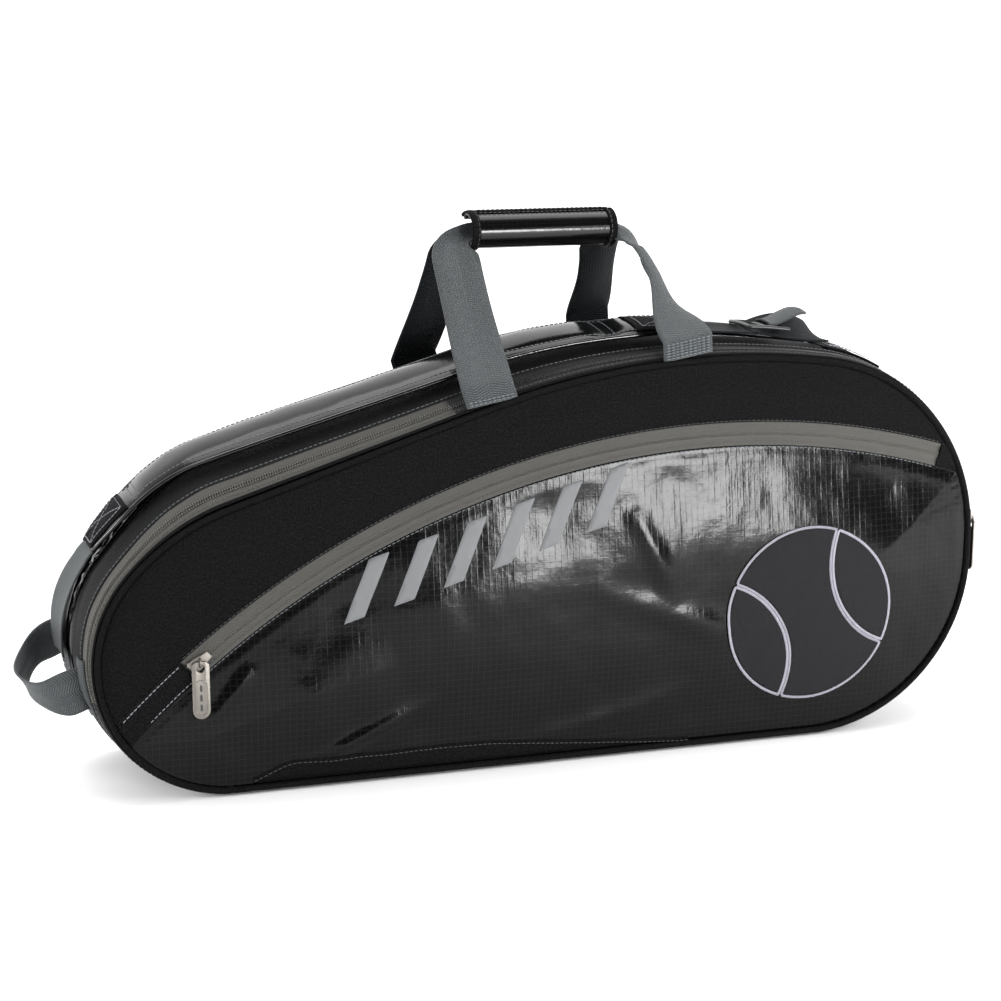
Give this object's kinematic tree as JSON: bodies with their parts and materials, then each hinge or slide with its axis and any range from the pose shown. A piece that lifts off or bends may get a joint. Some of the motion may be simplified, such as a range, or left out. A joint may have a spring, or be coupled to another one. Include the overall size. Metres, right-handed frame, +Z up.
{
  "type": "racket tournament bag",
  "caption": "Long wedge-shaped racket bag with two zipped main compartments, a zipped front pocket, wrapped carry handles, a padded shoulder strap and a haul loop.",
  "frame": {"origin": "middle of the flat base, on the centre plane, at the base's underside", "axes": "+X along the length to the racket-head end, +Y from the front pocket to the back, +Z up"},
  "size_m": [0.8251, 0.2488, 0.4551],
  "materials": {
    "oxford": "matt black woven polyester with a fine oxford weave",
    "vinyl": "glossy black coated ripstop fabric",
    "twill": "black ribbed twill band",
    "zip_tape": "olive-grey woven zip tape with a nylon coil",
    "webbing": "slate-grey ribbed polypropylene webbing",
    "lining": "grey padded lining cloth",
    "metal": "warm nickel plate, satin",
    "plastic": "moulded black acetal",
    "applique": "charcoal woven applique with a pale satin-stitch edge",
    "sleeve": "glossy black coated ripstop over foam"
  },
  "bodies": {
    "root": {"base_panel": "oxford", "divider_panel": "lining", "grip_end_gusset": "vinyl", "top_gusset": "vinyl", "head_end_gusset": "vinyl", "front_twill_band": "twill", "rear_twill_band": "twill", "front_rib_piping": "vinyl", "rear_rib_piping": "vinyl", "front_zip_tape_inner": "zip_tape", "rear_zip_tape_inner": "zip_tape", "strap_anchor_left": "webbing", "strap_anchor_right": "webbing", "haul_tab_front": "webbing", "haul_tab_rear": "webbing"},
    "front_cover": {"front_zip_tape_outer": "zip_tape", "front_edge_piping": "oxford", "front_lining_board": "lining", "front_yoke_panel": "oxford", "pocket_panel": "vinyl", "pocket_zip_tape_upper": "zip_tape", "pocket_zip_end_left": "oxford", "pocket_zip_end_right": "oxford", "emblem_lobe_left": "applique", "emblem_lobe_right": "applique", "emblem_waist": "applique", "front_handle_tab_left": "webbing", "front_handle_tab_right": "webbing"},
    "rear_cover": {"rear_zip_tape_outer": "zip_tape", "rear_edge_piping": "oxford", "rear_lining_board": "lining", "rear_panel": "oxford", "rear_handle_tab_left": "webbing", "rear_handle_tab_right": "webbing"},
    "pocket_lip": {"pocket_lip_panel": "vinyl", "pocket_zip_tape_lower": "zip_tape"},
    "pocket_slider": {"pocket_slider": "metal"},
    "pocket_pull": {"pocket_pull": "metal"},
    "front_zip_slider": {"front_zip_slider": "metal"},
    "front_zip_pull": {"front_zip_pull": "metal"},
    "rear_zip_slider": {"rear_zip_slider": "metal"},
    "rear_zip_pull": {"rear_zip_pull": "metal"},
    "front_handle": {"front_handle_strap": "webbing", "handle_wrap": "sleeve"},
    "rear_handle": {"rear_handle_strap": "webbing"},
    "haul_loop": {"haul_loop": "webbing"},
    "shoulder_strap": {"shoulder_strap_pad": "sleeve", "strap_webbing_left": "webbing", "strap_webbing_right": "webbing"},
    "ladder_lock": {"ladder_lock": "plastic"}
  },
  "joints": [
    {"name": "front_cover_open", "type": "hinge", "parent": "root", "child": "front_cover", "pos_m": [0.00009, -0.09829, 0.002], "axis": [0.9978, -0.0657, 0], "range_deg": [0, 25]},
    {"name": "rear_cover_open", "type": "hinge", "parent": "root", "child": "rear_cover", "pos_m": [0.00009, 0.09829, 0.002], "axis": [-0.9978, -0.0657, 0], "range_deg": [0, 25]},
    {"name": "pocket_lip_fold", "type": "hinge", "parent": "front_cover", "child": "pocket_lip", "pos_m": [0.01864, -0.0976, 0.16565], "axis": [0.9768, -0.0643, 0.2045], "range_deg": [0, 40]},
    {"name": "pocket_slider_travel", "type": "hinge", "parent": "pocket_lip", "child": "pocket_slider", "pos_m": [0.1449, -0.10581, -0.44], "axis": [0.0657, 0.9978, 0], "range_deg": [0, 50]},
    {"name": "pocket_pull_swing", "type": "hinge", "parent": "pocket_slider", "child": "pocket_pull", "pos_m": [-0.30193, -0.08172, 0.11255], "axis": [-0.9978, 0.0657, 0], "range_deg": [0, 150]},
    {"name": "front_zip_slider_travel", "type": "hinge", "parent": "root", "child": "front_zip_slider", "pos_m": [0.2163, -0.09829, 0.168], "axis": [-0.0657, -0.9978, 0], "range_deg": [0, 74]},
    {"name": "front_zip_pull_swing", "type": "hinge", "parent": "front_zip_slider", "child": "front_zip_pull", "pos_m": [0.38752, -0.10955, 0.18], "axis": [-0.0657, -0.9978, 0], "range_deg": [0, 150]},
    {"name": "rear_zip_slider_travel", "type": "hinge", "parent": "root", "child": "rear_zip_slider", "pos_m": [0.2163, 0.09829, 0.168], "axis": [0.0657, -0.9978, 0], "range_deg": [0, 74]},
    {"name": "rear_zip_pull_swing", "type": "hinge", "parent": "rear_zip_slider", "child": "rear_zip_pull", "pos_m": [0.38752, 0.10955, 0.18], "axis": [0.0657, -0.9978, 0], "range_deg": [0, 150]},
    {"name": "front_handle_fold", "type": "hinge", "parent": "front_cover", "child": "front_handle", "pos_m": [0.02119, -0.09867, 0.33762], "axis": [0.9822, -0.0646, 0.1765], "range_deg": [0, 110]},
    {"name": "rear_handle_fold", "type": "hinge", "parent": "rear_cover", "child": "rear_handle", "pos_m": [0.02119, 0.09867, 0.33762], "axis": [-0.9822, -0.0646, -0.1765], "range_deg": [0, 110]},
    {"name": "haul_loop_swing", "type": "hinge", "parent": "root", "child": "haul_loop", "pos_m": [-0.393, 0, 0.103], "axis": [0, 1, 0], "range_deg": [-25, 25]},
    {"name": "shoulder_strap_sway", "type": "hinge", "parent": "root", "child": "shoulder_strap", "pos_m": [-0.39516, 0.01501, 0.10783], "axis": [-0.9344, 0.1173, -0.3363], "range_deg": [-8, 8]},
    {"name": "ladder_lock_slide", "type": "slide", "parent": "shoulder_strap", "child": "ladder_lock", "axis": [0.9912, -0.0861, -0.1005], "range_m": [-0.012, 0.012]}
  ],
  "couplings": [
    {"joint": "pocket_slider_travel", "follows": "pocket_lip_fold", "ratio": 1.25}
  ]
}
